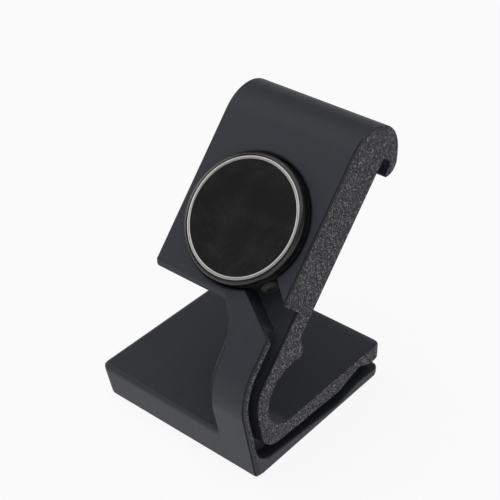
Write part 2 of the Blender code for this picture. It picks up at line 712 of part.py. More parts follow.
def main():
    parts, cutters = start_clean()
    printed = make_material("printed_plastic", (0.018, 0.019, 0.021), 0.55)
    shell = make_material("puck_shell", (0.02, 0.02, 0.022), 0.45)
    gloss = make_material("puck_gloss", (0.012, 0.012, 0.013), 0.12)
    rubber = make_material("gland_rubber", (0.03, 0.03, 0.03), 0.8)
    inside = {
        "magnet": make_material("magnet_nickel", (0.62, 0.6, 0.57), 0.25, 1.0),
        "copper": make_material("copper_winding", (0.72, 0.33, 0.16), 0.35, 1.0),
        "ferrite": make_material("ferrite", (0.05, 0.05, 0.055), 0.6),
        "board": make_material("board_green", (0.03, 0.13, 0.06), 0.45),
        "chip": make_material("chip_black", (0.02, 0.02, 0.02), 0.5),
        "capacitor": make_material("capacitor_tan", (0.45, 0.32, 0.2), 0.5),
    }
    make_body(parts, cutters, printed)

    seat = bpy.data.objects.new("puck_seat", None)
    parts.objects.link(seat)
    seat.matrix_world = seat_frame() @ Matrix.Translation((0.0, 0.0, FIT_GAP))
    make_housing(parts, cutters, seat, shell)
    make_gland(parts, seat, rubber)
    make_cover(parts, seat, gloss)
    make_inside(parts, cutters, seat, inside)
    for item in parts.objects:
        if item.type == "MESH":
            settle(item)
            shade_round(item)
    bpy.context.view_layer.update()


main()
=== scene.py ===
"""Looks for the charging dock: a printed stand with its magnetic charging puck.

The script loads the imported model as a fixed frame, dresses it, and sets up a plain studio.
All lengths are in metres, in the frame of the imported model: X to the right, Y to the rear, Z up.
"""

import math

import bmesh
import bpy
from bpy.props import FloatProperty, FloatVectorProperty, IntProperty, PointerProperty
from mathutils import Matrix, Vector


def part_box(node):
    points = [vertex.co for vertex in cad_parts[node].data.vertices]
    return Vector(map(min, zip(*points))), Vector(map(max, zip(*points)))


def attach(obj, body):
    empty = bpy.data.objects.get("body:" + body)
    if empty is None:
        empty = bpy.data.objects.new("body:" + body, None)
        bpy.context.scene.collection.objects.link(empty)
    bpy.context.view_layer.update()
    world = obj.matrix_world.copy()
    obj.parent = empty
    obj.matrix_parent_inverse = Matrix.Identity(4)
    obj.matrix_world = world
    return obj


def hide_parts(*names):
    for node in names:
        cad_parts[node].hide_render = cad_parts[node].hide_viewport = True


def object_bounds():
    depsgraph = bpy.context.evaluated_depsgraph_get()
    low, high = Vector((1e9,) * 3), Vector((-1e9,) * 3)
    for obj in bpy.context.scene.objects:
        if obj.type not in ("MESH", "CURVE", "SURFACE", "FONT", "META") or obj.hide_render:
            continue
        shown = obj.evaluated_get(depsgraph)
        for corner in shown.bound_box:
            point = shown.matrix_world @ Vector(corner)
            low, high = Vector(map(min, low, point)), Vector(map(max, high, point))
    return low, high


bl_info = {
    "name": "Watch Charging Dock",
    "version": (1, 0, 0),
    "blender": (4, 5, 0),
    "location": "View3D > Sidebar > Dock",
    "description": "Dresses a printed watch charging dock and its puck",
    "category": "Object",
}

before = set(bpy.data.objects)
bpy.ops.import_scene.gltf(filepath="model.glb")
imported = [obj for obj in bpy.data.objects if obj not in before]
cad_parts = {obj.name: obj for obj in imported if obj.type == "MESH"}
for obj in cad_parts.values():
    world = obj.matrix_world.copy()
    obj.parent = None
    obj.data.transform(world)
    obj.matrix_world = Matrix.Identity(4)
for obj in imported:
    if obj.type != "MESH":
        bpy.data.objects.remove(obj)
CAD_LOW, CAD_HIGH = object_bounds()

# The unit, the body that all rides on, and how near two points count as one
MM = 0.001
BODY = "root"
WELD = 0.000002

# How the stand was printed: its right side lay on the bed, and the layers stack towards its left
BED_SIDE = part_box("dock_body")[1].x
BED_TOUCH = 0.06 * MM
STRIP_TOP = 4.2 * MM
STRIP_FADE = 1.2 * MM
# SOLID_LAYERS and SOLID_LINE_WIDTH place a groove along the front near the bed side; its darker colour in
# the material is painted shade
SOLID_LAYERS = 0.55 * MM
SOLID_LINE_WIDTH = 0.3 * MM

# The base: its faces, and how round the solids leave its lower edges
BASE_TOP = 10.0 * MM
BACK_FACE = 25.66 * MM
FRONT_LEAN = math.radians(12.6)
FOOT_EDGE = 0.5 * MM
HEEL_EDGE = 2.0 * MM

# Places and lengths that tell the stand's edges apart
FOOT_TOP = 1.0 * MM
SHORT_EDGE = 1.5 * MM
REAR_CORNER = 2.3 * MM
CORNER_SIDE = BED_SIDE - 2 * REAR_CORNER
CORNER_BACK = BACK_FACE - REAR_CORNER
SKIN_SIDE = BED_SIDE - 5.0 * MM
RISER_SIDE = BED_SIDE - 14.0 * MM
RISER_TOP = 34.0 * MM
FRONT_EDGE_SOFT = 20.0 * MM
FRONT_EDGE_TOP = 31.5 * MM
CHANNEL_SILL = 3.9 * MM
CHANNEL_ROOF = 6.0 * MM
CHANNEL_WALL = BED_SIDE - 3.4 * MM
CHANNEL_REAR = 17.0 * MM

# How far a face's normal points one way when the face counts as turned that way
TURNED = 0.5
LEVEL = 0.7
SILL_LEVEL = 0.8
LEANING = 0.2

# How round the softer edges are, as shares of the soft edge radius; FRONT_FADE is what the riser's
# front edge loses on its way up
CORNER_SHARE = 0.9
SILL_SHARE = 0.45
FIRM_SHARE = 0.4
FRONT_FADE = 0.75

# Angles between faces, and the number of faces across a rounded edge
SOFT_EDGE_ANGLE = math.radians(25.0)
SHARP_EDGE_ANGLE = math.radians(32.0)
SMOOTH_ANGLE = math.radians(35.0)
RING_SMOOTH_ANGLE = math.radians(50.0)
FLAT_ANGLE = math.radians(0.3)
EDGE_STEPS = 4

# The puck's seat in the tilted slab
PUCK_TILT = math.radians(48.9)
PUCK_AXIS = Vector((0.0, -math.sin(PUCK_TILT), math.cos(PUCK_TILT)))

# Camera, at the height and side that the reference shows
CAMERA_PLACE = (0.1428, -0.17014, 0.1938)
CAMERA_AZIMUTH = math.radians(39.39)
CAMERA_ELEVATION = math.radians(34.76)
CAMERA_ROLL = math.radians(0.19)
CAMERA_LENS = 87.56
CAMERA_NEAR = 0.01

# Lamps: where each one hangs, and the side of its square
KEY_PLACE = (-0.15, -0.15, 1.0)
KEY_SIZE = 1.2
FILL_PLACE = (0.35, -0.6, 0.35)
FILL_SIZE = 0.4
RIM_PLACE = (-0.6, -0.12, 0.26)
RIM_SIZE = 0.5


class DockStandSettings(bpy.types.PropertyGroup):
    """Sizes and colours of the printed stand."""

    plastic_colour: FloatVectorProperty(
        name="Plastic colour", description="Colour of the printed plastic",
        subtype="COLOR", size=3, min=0.0, max=1.0, default=(0.0262, 0.0278, 0.0362))
    # Painted glint: a pale colour that the grain's ridges on the bed side get, standing in for the light
    # they catch
    painted_glint_colour: FloatVectorProperty(
        name="Fleck colour", description="Colour of the bright grains on the side that lay on the bed",
        subtype="COLOR", size=3, min=0.0, max=1.0, default=(0.42, 0.42, 0.455))
    layer_height: FloatProperty(
        name="Layer height", description="Height of one printed layer",
        default=0.24 * MM, min=0.05 * MM, unit="LENGTH")
    edge_radius: FloatProperty(
        name="Edge radius", description="How far the nozzle rounds an outer edge",
        default=0.2 * MM, min=0.0, unit="LENGTH")
    soft_edge_radius: FloatProperty(
        name="Soft edge radius", description="Rounding of the foot's front corner, the softest edge",
        default=0.9 * MM, min=0.0, unit="LENGTH")
    corner_radius: FloatProperty(
        name="Corner radius", description="Rounding of the base's upright corners",
        default=2.2 * MM, min=0.0, unit="LENGTH")
    grain_size: FloatProperty(
        name="Bed grain", description="Size of the grain that the print bed leaves",
        default=0.5 * MM, min=0.05 * MM, unit="LENGTH")
    grain_depth: FloatProperty(
        name="Grain depth", description="Relief of the grain that the print bed leaves",
        default=0.2 * MM, min=0.0, unit="LENGTH")


class DockPuckSettings(bpy.types.PropertyGroup):
    """Sizes and colours of the charging puck."""

    gloss_colour: FloatVectorProperty(
        name="Dish colour", description="Colour of the puck's glossy dish",
        subtype="COLOR", size=3, min=0.0, max=1.0, default=(0.006, 0.006, 0.007))
    trim_colour: FloatVectorProperty(
        name="Trim colour", description="Colour of the metal ring round the dish",
        subtype="COLOR", size=3, min=0.0, max=1.0, default=(0.52, 0.51, 0.49))
    trim_width: FloatProperty(
        name="Trim width", description="Width of the metal ring round the dish",
        default=0.7 * MM, min=0.1 * MM, unit="LENGTH")
    trim_inset: FloatProperty(
        name="Trim inset", description="How far the metal ring stands inside the cover's edge",
        default=1.0 * MM, min=0.1 * MM, unit="LENGTH")
    turn_steps: IntProperty(
        name="Turning steps", description="Faces round a turned piece of the puck",
        default=144, min=24, max=512)


class DockStageSettings(bpy.types.PropertyGroup):
    """The floor, the lamps and the camera."""

    floor_colour: FloatVectorProperty(
        name="Floor colour", description="Colour of the floor",
        subtype="COLOR", size=3, min=0.0, max=1.0, default=(0.86, 0.86, 0.86))
    floor_size: FloatProperty(
        name="Floor size", description="Side of the square floor",
        default=4.0, min=0.5, unit="LENGTH")
    key_power: FloatProperty(
        name="Key power", description="Power of the large lamp overhead, in watts",
        default=5.4, min=0.0)
    fill_power: FloatProperty(
        name="Fill power", description="Power of the lamp at the front right, in watts",
        default=0.6, min=0.0)
    rim_power: FloatProperty(
        name="Rim power", description="Power of the low lamp at the left, in watts",
        default=1.0, min=0.0)
    dome_light: FloatProperty(
        name="Dome light", description="Strength of the surround overhead, where the horizon has 1",
        default=0.22, min=0.0)


# Small helpers for nodes

VECTOR = "NodeSocketVector"
VALUE = "NodeSocketFloat"


def put(tree, kind, inputs=None, **settings):
    """A new node with its settings; each input is linked to a socket or set to a value."""
    made = tree.nodes.new(kind)
    for name, value in settings.items():
        setattr(made, name, value)
    for name, value in (inputs or {}).items():
        socket = made.inputs[name]
        if isinstance(value, bpy.types.NodeSocket):
            tree.links.new(value, socket)
        else:
            socket.default_value = value
    return made


def reckon(tree, operation, first, second=0.0, third=0.0, clamp=False):
    """The result of one sum on values."""
    inputs = {0: first, 1: second, 2: third}
    return put(tree, "ShaderNodeMath", inputs, operation=operation, use_clamp=clamp).outputs[0]


def stretch(tree, place, factors):
    """A place with each axis multiplied by its own factor."""
    return put(tree, "ShaderNodeVectorMath", {0: place, 1: factors}, operation="MULTIPLY").outputs[0]


def in_sizes(tree, place, sizes):
    """A place counted in a size of its own along each axis."""
    return stretch(tree, place, tuple(1.0 / size for size in sizes))


def in_size(tree, place, size):
    """A place counted in one size, which is a value or a socket."""
    rate = reckon(tree, "DIVIDE", 1.0, size)
    return put(tree, "ShaderNodeVectorMath", {0: place, "Scale": rate}, operation="SCALE").outputs[0]


def split_axes(tree, place):
    """The X, Y and Z of a place or a normal."""
    return put(tree, "ShaderNodeSeparateXYZ", {0: place}).outputs


def remap(tree, value, low, high, new_low=0.0, new_high=1.0):
    """A value eased from one range into another."""
    inputs = {"Value": value, "From Min": low, "From Max": high, "To Min": new_low, "To Max": new_high}
    return put(tree, "ShaderNodeMapRange", inputs, interpolation_type="SMOOTHSTEP").outputs["Result"]


def noise(tree, place, scale=1.0, detail=2.0, roughness=0.5):
    """Soft random values from 0 to 1."""
    inputs = {"Vector": place, "Scale": scale, "Detail": detail, "Roughness": roughness}
    return put(tree, "ShaderNodeTexNoise", inputs).outputs["Fac"]


def mix_value(tree, share, first, second):
    """Between two values, by a share."""
    inputs = {0: share, 2: first, 3: second}
    return put(tree, "ShaderNodeMix", inputs, data_type="FLOAT").outputs[0]


def mix_colour(tree, share, first, second):
    """Between two colours, by a share."""
    inputs = {0: share}
    for socket, colour in ((6, first), (7, second)):
        inputs[socket] = colour if isinstance(colour, bpy.types.NodeSocket) else (*colour, 1.0)
    return put(tree, "ShaderNodeMix", inputs, data_type="RGBA").outputs[2]


def tint(colour, factor):
    """A colour made darker or lighter."""
    return tuple(channel * factor for channel in colour)


def start_group(name, inputs, outputs):
    """An empty node group with its sockets; returns the group, its inputs and its output node."""
    group = bpy.data.node_groups.new(name, "ShaderNodeTree")
    for socket, kind, default in inputs:
        made = group.interface.new_socket(name=socket, in_out="INPUT", socket_type=kind)
        if default is not None:
            made.default_value = default
    for socket in outputs:
        group.interface.new_socket(name=socket, in_out="OUTPUT", socket_type=VALUE)
    start = group.nodes.new("NodeGroupInput").outputs
    end = group.nodes.new("NodeGroupOutput")
    return group, start, end


def finish_group(group, end, results):
    """Link each result to the output of its name."""
    for name, socket in results.items():
        group.links.new(socket, end.inputs[name])
    return group


def layer_lines_group():
    """Fine ridges of stacked layers, and the slow change of tone from layer to layer."""
    sockets = [("Place", VECTOR, None), ("Layer", VALUE, 0.24 * MM)]
    group, start, end = start_group("layer_lines", sockets, ["Height", "Tone"])
    split = split_axes(group, start["Place"])
    count = reckon(group, "DIVIDE", split["X"], start["Layer"])
    ridge = reckon(group, "SINE", reckon(group, "MULTIPLY", count, math.tau))
    ridge = reckon(group, "MULTIPLY_ADD", ridge, 0.5, 0.5)
    wander_place = in_sizes(group, start["Place"], (0.5 * MM, 9.0 * MM, 9.0 * MM))
    wander = noise(group, wander_place, detail=3.0)
    tone_place = in_sizes(group, start["Place"], (1.3 * MM, 60.0 * MM, 60.0 * MM))
    tone = noise(group, tone_place, detail=2.0)
    height = mix_value(group, 0.3, ridge, wander)
    return finish_group(group, end, {"Height": height, "Tone": tone})


def bed_grain_group():
    """The curled grain that a textured print bed leaves: short worm-like ridges, and where they get
    painted glints that stand in for the light they catch.
    """
    sockets = [("Place", VECTOR, None), ("Size", VALUE, 0.6 * MM)]
    group, start, end = start_group("bed_grain", sockets, ["Height", "Glint"])
    scaled = in_size(group, start["Place"], start["Size"])
    curls = noise(group, scaled, detail=1.0, roughness=0.4)
    from_crest = reckon(group, "ABSOLUTE", reckon(group, "SUBTRACT", curls, 0.5))
    ridge = remap(group, from_crest, 0.0, 0.055, 1.0, 0.0)
    broken = remap(group, noise(group, scaled, scale=0.9, detail=2.0), 0.3, 0.5, 0.15)
    # Where the ridges get painted glints in the material
    painted_glint = reckon(group, "MULTIPLY", ridge, broken)
    rubble = noise(group, scaled, scale=2.1, detail=2.0, roughness=0.6)
    return finish_group(group, end, {"Height": mix_value(group, 0.3, ridge, rubble), "Glint": painted_glint})


def raster_lines_group():
    """Parallel lines of extruded plastic on a last layer, at 45 degrees."""
    sockets = [("Place", VECTOR, None), ("Pitch", VALUE, 0.42 * MM)]
    group, start, end = start_group("raster_lines", sockets, ["Height"])
    split = split_axes(group, start["Place"])
    across = reckon(group, "MULTIPLY", reckon(group, "ADD", split["Y"], split["Z"]), math.sqrt(0.5))
    count = reckon(group, "DIVIDE", across, start["Pitch"])
    line = reckon(group, "ABSOLUTE", reckon(group, "SINE", reckon(group, "MULTIPLY", count, math.pi)))
    uneven = noise(group, in_sizes(group, start["Place"], (MM,) * 3), detail=2.0)
    return finish_group(group, end, {"Height": mix_value(group, 0.25, line, uneven)})


def moulded_grain_group():
    """The fine even grain of a spark-eroded mould."""
    sockets = [("Place", VECTOR, None), ("Size", VALUE, 0.12 * MM)]
    group, start, end = start_group("moulded_grain", sockets, ["Height", "Tone"])
    scaled = in_size(group, start["Place"], start["Size"])
    height = noise(group, scaled, detail=3.0, roughness=0.6)
    tone = noise(group, scaled, scale=0.04, detail=2.0)
    return finish_group(group, end, {"Height": height, "Tone": tone})


def fine_scratches_group():
    """Hairline scratches in two directions, and the soft marks of handling."""
    sockets = [("Place", VECTOR, None), ("Length", VALUE, 9.0 * MM)]
    group, start, end = start_group("fine_scratches", sockets, ["Scratch", "Smudge"])
    masks = []
    for angle in (0.5, 2.0):
        turned = put(group, "ShaderNodeVectorRotate", {"Vector": start["Place"], "Angle": angle},
                     rotation_type="Z_AXIS").outputs[0]
        drawn_out = stretch(group, in_size(group, turned, start["Length"]), (90.0, 1.2, 4.0))
        thin = noise(group, drawn_out, detail=1.0)
        masks.append(remap(group, thin, 0.66, 0.72))
    scratch = reckon(group, "MAXIMUM", masks[0], masks[1])
    scaled = in_size(group, start["Place"], start["Length"])
    smudge = remap(group, noise(group, scaled, scale=1.6, detail=3.0), 0.4, 0.72)
    return finish_group(group, end, {"Scratch": scratch, "Smudge": smudge})


GROUP_MAKERS = {
    "layer_lines": layer_lines_group,
    "bed_grain": bed_grain_group,
    "raster_lines": raster_lines_group,
    "moulded_grain": moulded_grain_group,
    "fine_scratches": fine_scratches_group,
}


def effect(tree, name, place, **values):
    """A shared effect as a group node, with this material's own values; the group is built once."""
    group = bpy.data.node_groups.get(name) or GROUP_MAKERS[name]()
    made = put(tree, "ShaderNodeGroup", node_tree=group)
    tree.links.new(place, made.inputs["Place"])
    for key, value in values.items():
        made.inputs[key].default_value = value
    return made.outputs


def start_material(name):
    """A material with its shader and the place on the object that its patterns read."""
    material = bpy.data.materials.new(name)
    material.use_nodes = True
    tree = material.node_tree
    shader = tree.nodes["Principled BSDF"]
    place = put(tree, "ShaderNodeTexCoord").outputs["Object"]
    return material, tree, shader, place


def feed(tree, shader, sockets):
    """Link or set several of a shader's inputs."""
    for name, value in sockets.items():
        if isinstance(value, bpy.types.NodeSocket):
            tree.links.new(value, shader.inputs[name])
        else:
            shader.inputs[name].default_value = value


def bump(tree, height, distance, below=None):
    """A normal from a height of 0 to 1 and the real depth of its relief, over another normal if given."""
    inputs = {"Height": height, "Distance": distance, "Strength": 1.0}
    if below is not None:
        inputs["Normal"] = below
    return put(tree, "ShaderNodeBump", inputs).outputs["Normal"]


def in_puck_frame(tree, place, centre=Vector()):
    """A place in the puck's own frame, counted from a centre."""
    turn = Matrix.Rotation(-PUCK_TILT, 3, "X")
    inputs = {"Vector": place, "Rotation": (-PUCK_TILT, 0.0, 0.0), "Location": -(turn @ centre)}
    return put(tree, "ShaderNodeMapping", inputs).outputs[0]


def from_axis(tree, split):
    """How far a place of the puck's own frame lies from its axis."""
    squares = [reckon(tree, "POWER", split[axis], 2.0) for axis in ("X", "Y")]
    return reckon(tree, "SQRT", reckon(tree, "ADD", *squares))


def printed_plastic(settings):
    """Matte black print: layer lines, a bed side with grain and rastered last layers, with painted shade
    in a groove and in the grain, and painted glints on the grain.
    """
    material, tree, shader, place = start_material("printed_plastic_black")
    layers = effect(tree, "layer_lines", place, Layer=settings.layer_height)
    grain = effect(tree, "bed_grain", place, Size=settings.grain_size)
    raster = effect(tree, "raster_lines", place)
    split = split_axes(tree, place)
    facing = split_axes(tree, put(tree, "ShaderNodeTexCoord").outputs["Normal"])

    # Where each finish lies
    near_bed = reckon(tree, "GREATER_THAN", split["X"], BED_SIDE - BED_TOUCH)
    above_strip = remap(tree, split["Z"], STRIP_TOP, STRIP_TOP + STRIP_FADE, 0.12, 1.0)
    grain_and_painted_light = reckon(tree, "MULTIPLY", near_bed, above_strip)
    last_layer = remap(tree, facing["X"], -0.97, -0.9, 1.0, 0.0)
    # A groove along the first layers on the front: real relief, with painted shade laid into its colour
    from_bed = reckon(tree, "SUBTRACT", BED_SIDE - SOLID_LAYERS, split["X"])
    groove_and_painted_shade = remap(tree, reckon(tree, "ABSOLUTE", from_bed), 0.0, SOLID_LINE_WIDTH, 1.0, 0.0)
    facing_front = remap(tree, facing["Y"], -0.5, -0.3, 1.0, 0.0)
    groove_and_painted_shade = reckon(tree, "MULTIPLY", groove_and_painted_shade, facing_front)
    # Where painted glints go: the grain's ridges on the bed side
    painted_glint_share = reckon(tree, "MULTIPLY", grain_and_painted_light, grain["Glint"])

    # Colour: a slow change from layer to layer, painted shade in the groove, painted shade over the bed
    # side's grain as if in its pits, and painted glints on the grain's ridges
    dark = tint(settings.plastic_colour, 0.88)
    light = tint(settings.plastic_colour, 1.12)
    painted_shade_colour = tint(settings.plastic_colour, 0.25)
    colour = mix_colour(tree, layers["Tone"], dark, light)
    # Painted shade: the groove darkened to a quarter of the plastic's colour
    colour = mix_colour(tree, groove_and_painted_shade, colour, painted_shade_colour)
    # Painted shade: the bed side with grain darkened to a quarter of the plastic's colour, as if in the
    # grain's pits
    colour = mix_colour(tree, grain_and_painted_light, colour, painted_shade_colour)
    # Painted glints: a pale colour on the grain's ridges, standing in for the light they catch
    colour = mix_colour(tree, painted_glint_share, colour, settings.painted_glint_colour)

    # Roughness, from the layers, the grain, its painted glints and the groove
    roughness = remap(tree, layers["Tone"], 0.3, 0.7, 0.51, 0.54)
    roughness = mix_value(tree, grain_and_painted_light, roughness, 0.7)
    roughness = mix_value(tree, painted_glint_share, roughness, 0.4)
    roughness = mix_value(tree, groove_and_painted_shade, roughness, 1.0)

    # Relief: ridges of layers or of the last layer's lines, the groove under the painted shade, and the
    # grain
    line_depth = -2.5
    smooth_height = mix_value(tree, last_layer, layers["Height"], raster["Height"])
    side_height = reckon(tree, "MULTIPLY", smooth_height, reckon(tree, "SUBTRACT", 1.0, near_bed))
    side_height = reckon(tree, "MULTIPLY_ADD", groove_and_painted_shade, line_depth, side_height)
    layered = bump(tree, side_height, 0.01 * MM)
    grain_height = reckon(tree, "MULTIPLY", grain["Height"], grain_and_painted_light)
    normal = bump(tree, grain_height, settings.grain_depth, below=layered)
    feed(tree, shader, {"Base Color": colour, "Roughness": roughness, "Specular IOR Level": 0.3,
                        "Normal": normal})
    return material


def puck_gloss(settings):
    """Polished black plastic with hairline scratches and a trace of handling."""
    material, tree, shader, place = start_material("puck_gloss_black")
    wear = effect(tree, "fine_scratches", in_puck_frame(tree, place))
    lifted = tuple(channel + 0.006 for channel in settings.gloss_colour)
    colour = mix_colour(tree, wear["Smudge"], settings.gloss_colour, lifted)
    roughness = reckon(tree, "MULTIPLY_ADD", wear["Smudge"], 0.07, 0.07)
    roughness = reckon(tree, "MULTIPLY_ADD", wear["Scratch"], 0.12, roughness)
    feed(tree, shader, {"Base Color": colour, "Roughness": roughness,
                        "Normal": bump(tree, wear["Scratch"], -0.002 * MM)})
    return material


def brushed_metal(name, colour, centre):
    """Satin metal, brushed round the puck's axis."""
    line_width = 0.03 * MM
    material, tree, shader, place = start_material(name)
    local = in_puck_frame(tree, place, centre)
    wear = effect(tree, "fine_scratches", local, Length=5.0 * MM)
    radius = from_axis(tree, split_axes(tree, local))
    lines = put(tree, "ShaderNodeTexNoise", {"W": radius, "Scale": 1.0 / line_width, "Detail": 2.0},
                noise_dimensions="1D").outputs["Fac"]
    dark = tint(colour, 0.8)
    roughness = remap(tree, lines, 0.3, 0.7, 0.22, 0.36)
    roughness = reckon(tree, "MULTIPLY_ADD", wear["Smudge"], 0.06, roughness)
    feed(tree, shader, {"Base Color": mix_colour(tree, lines, dark, colour), "Metallic": 1.0,
                        "Roughness": roughness, "Normal": bump(tree, lines, 0.002 * MM)})
    return material


def moulded(name, colour, grain, depth, roughness):
    """Moulded plastic or rubber with an even fine grain."""
    material, tree, shader, place = start_material(name)
    surface = effect(tree, "moulded_grain", place, Size=grain)
    tone = mix_colour(tree, surface["Tone"], tint(colour, 0.8), tint(colour, 1.2))
    feed(tree, shader, {"Base Color": tone,
                        "Roughness": remap(tree, surface["Tone"], 0.3, 0.7, *roughness),
                        "Normal": bump(tree, surface["Height"], depth)})
    return material


def copper_winding(centre):
    """Enamelled copper wire, wound in a flat spiral round the puck's axis, with painted shade in the gaps
    between turns.
    """
    wire_width = 0.4 * MM
    painted_gap_shade = (0.22, 0.07, 0.025)
    wire_colour = (0.74, 0.33, 0.15)
    material, tree, shader, place = start_material("copper_wire_winding")
    split = split_axes(tree, in_puck_frame(tree, place, centre))
    around = reckon(tree, "DIVIDE", reckon(tree, "ARCTAN2", split["Y"], split["X"]), math.tau)
    turns = reckon(tree, "DIVIDE", from_axis(tree, split), wire_width)
    wire = reckon(tree, "SINE", reckon(tree, "MULTIPLY", reckon(tree, "ADD", turns, around), math.pi))
    height = reckon(tree, "ABSOLUTE", wire)
    # Painted shade: the copper darkened between the turns, where the wire's relief dips
    colour = mix_colour(tree, height, painted_gap_shade, wire_colour)
    feed(tree, shader, {"Base Color": colour, "Metallic": 1.0,
                        "Roughness": remap(tree, height, 0.0, 1.0, 0.45, 0.25),
                        "Normal": bump(tree, height, 0.15 * MM)})
    return material


def board_mask():
    """Solder mask over copper tracks on the round board."""
    mask_colour = (0.012, 0.075, 0.03)
    track_colour = (0.03, 0.16, 0.07)
    material, tree, shader, place = start_material("solder_mask_green")
    local = put(tree, "ShaderNodeMapping", {"Vector": place, "Rotation": (-PUCK_TILT, 0.0, 0.0),
                                            "Scale": (1.0 / MM,) * 3}).outputs[0]
    cells = put(tree, "ShaderNodeTexVoronoi", {"Vector": local, "Scale": 0.9}, feature="F1",
                distance="CHEBYCHEV").outputs["Distance"]
    track = remap(tree, cells, 0.42, 0.46)
    surface = effect(tree, "moulded_grain", place, Size=0.2 * MM)
    colour = mix_colour(tree, track, mask_colour, track_colour)
    feed(tree, shader, {"Base Color": colour,
                        "Roughness": remap(tree, surface["Tone"], 0.3, 0.7, 0.3, 0.42),
                        "Normal": bump(tree, track, 0.03 * MM)})
    return material


def capacitor_finish():
    """A ceramic body between two tinned ends."""
    clay_colours = ((0.36, 0.24, 0.14), (0.5, 0.36, 0.22))
    tin_colour = (0.62, 0.61, 0.58)
    material, tree, shader, place = start_material("ceramic_and_tin")
    low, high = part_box("board_capacitor")
    middle = (low.x + high.x) / 2
    half = (high.x - low.x) / 2
    split = split_axes(tree, place)
    away = reckon(tree, "ABSOLUTE", reckon(tree, "SUBTRACT", split["X"], middle))
    tinned = remap(tree, away, half * 0.68, half * 0.72)
    surface = effect(tree, "moulded_grain", place, Size=0.15 * MM)
    ceramic = mix_colour(tree, surface["Tone"], *clay_colours)
    feed(tree, shader, {"Base Color": mix_colour(tree, tinned, ceramic, tin_colour),
                        "Metallic": tinned, "Roughness": remap(tree, tinned, 0.0, 1.0, 0.55, 0.3),
                        "Normal": bump(tree, surface["Height"], 0.01 * MM)})
    return material


# Small helpers for modelling

def take_up(item):
    """Make one object the only selected one, and the active one."""
    bpy.ops.object.select_all(action="DESELECT")
    item.select_set(True)
    bpy.context.view_layer.objects.active = item


def apply_modifier(item, kind, **settings):
    """Add a modifier and apply it at once."""
    take_up(item)
    bpy.ops.object.modifier_add(type=kind)
    change = item.modifiers[-1]
    for name, value in settings.items():
        setattr(change, name, value)
    bpy.ops.object.modifier_apply(modifier=change.name)


def shade_round(item, angle):
    """Smooth shading that keeps flat faces flat and edges beyond an angle sharp."""
    take_up(item)
    bpy.ops.object.shade_smooth_by_angle(angle=angle)
    apply_modifier(item, "WEIGHTED_NORMAL", keep_sharp=True, weight=100)


def copy_of(node, name):
    """A merged copy of a CAD node's mesh, with its flat faces whole again, as a new object."""
    item = bpy.data.objects.new(name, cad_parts[node].data.copy())
    item.data.name = name
    bpy.context.scene.collection.objects.link(item)
    take_up(item)
    bpy.ops.mesh.customdata_custom_splitnormals_clear()
    bpy.ops.object.mode_set(mode="EDIT")
    bpy.ops.mesh.select_all(action="SELECT")
    bpy.ops.mesh.remove_doubles(threshold=WELD)
    bpy.ops.mesh.dissolve_degenerate(threshold=WELD)
    bpy.ops.mesh.dissolve_limited(angle_limit=FLAT_ANGLE)
    bpy.ops.object.mode_set(mode="OBJECT")
    return item


def dress(item, material, slot, *nodes):
    """Give a finished piece its material, hang it on the body, and hide the CAD nodes that it replaces.
    """
    item.data.materials.clear()
    item.data.materials.append(material)
    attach(item, BODY)
    if nodes:
        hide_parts(*nodes)


def turn_profile(name, points, steps, place):
    """A turned piece: its profile is drawn point by point, spun about Z and put in its place."""
    bpy.ops.object.select_all(action="DESELECT")
    bpy.ops.mesh.primitive_plane_add(size=MM)
    item = bpy.context.object
    item.name = name
    item.data.name = name
    bpy.ops.object.mode_set(mode="EDIT")
    bpy.ops.mesh.select_all(action="SELECT")
    bpy.ops.mesh.merge(type="CENTER")
    here = Vector((0.0, 0.0))
    for number, point in enumerate(points):
        step = (point[0] - here.x, 0.0, point[1] - here.y)
        if number == 0:
            bpy.ops.transform.translate(value=step)
        else:
            bpy.ops.mesh.extrude_region_move(TRANSFORM_OT_translate={"value": step})
        here = Vector(point)
    bpy.ops.mesh.select_all(action="SELECT")
    bpy.ops.mesh.spin(steps=steps, angle=math.tau, center=(0.0, 0.0, 0.0), axis=(0.0, 0.0, 1.0))
    bpy.ops.mesh.select_all(action="SELECT")
    bpy.ops.mesh.remove_doubles(threshold=WELD)
    bpy.ops.mesh.normals_make_consistent(inside=False)
    bpy.ops.object.mode_set(mode="OBJECT")
    item.matrix_world = place
    take_up(item)
    bpy.ops.object.transform_apply(location=True, rotation=True, scale=True)
    return item


def arc(centre, radius, start, end, steps):
    """Points of an arc in a profile, from one angle to another in degrees."""
    points = []
    for number in range(steps + 1):
        angle = math.radians(start + (end - start) * number / steps)
        points.append((centre[0] + radius * math.cos(angle), centre[1] + radius * math.sin(angle)))
    return points


def middle_of(node):
    """The middle of a CAD node's box."""
    low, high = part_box(node)
    return (low + high) / 2


def along_axis(node, centre, axis):
    """A turned CAD node's lowest and highest place along an axis, and its radius."""
    heights = []
    radii = []
    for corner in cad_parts[node].data.vertices:
        arm = corner.co - centre
        height = axis.dot(arm)
        heights.append(height)
        radii.append((arm - axis * height).length)
    return min(heights), max(heights), max(radii)


def puck_place():
    """The puck's own frame, with its origin under the housing and +Z out of the slab."""
    centre = middle_of("alignment_magnet")
    low, _, _ = along_axis("puck_housing", centre, PUCK_AXIS)
    return Matrix.Translation(centre + PUCK_AXIS * low) @ Matrix.Rotation(PUCK_TILT, 4, "X")


def lower_inset(height, radius):
    """How far a rounded lower edge stands in from its face at a height."""
    drop = max(radius - height, 0.0)
    return radius - math.sqrt(radius ** 2 - drop ** 2)


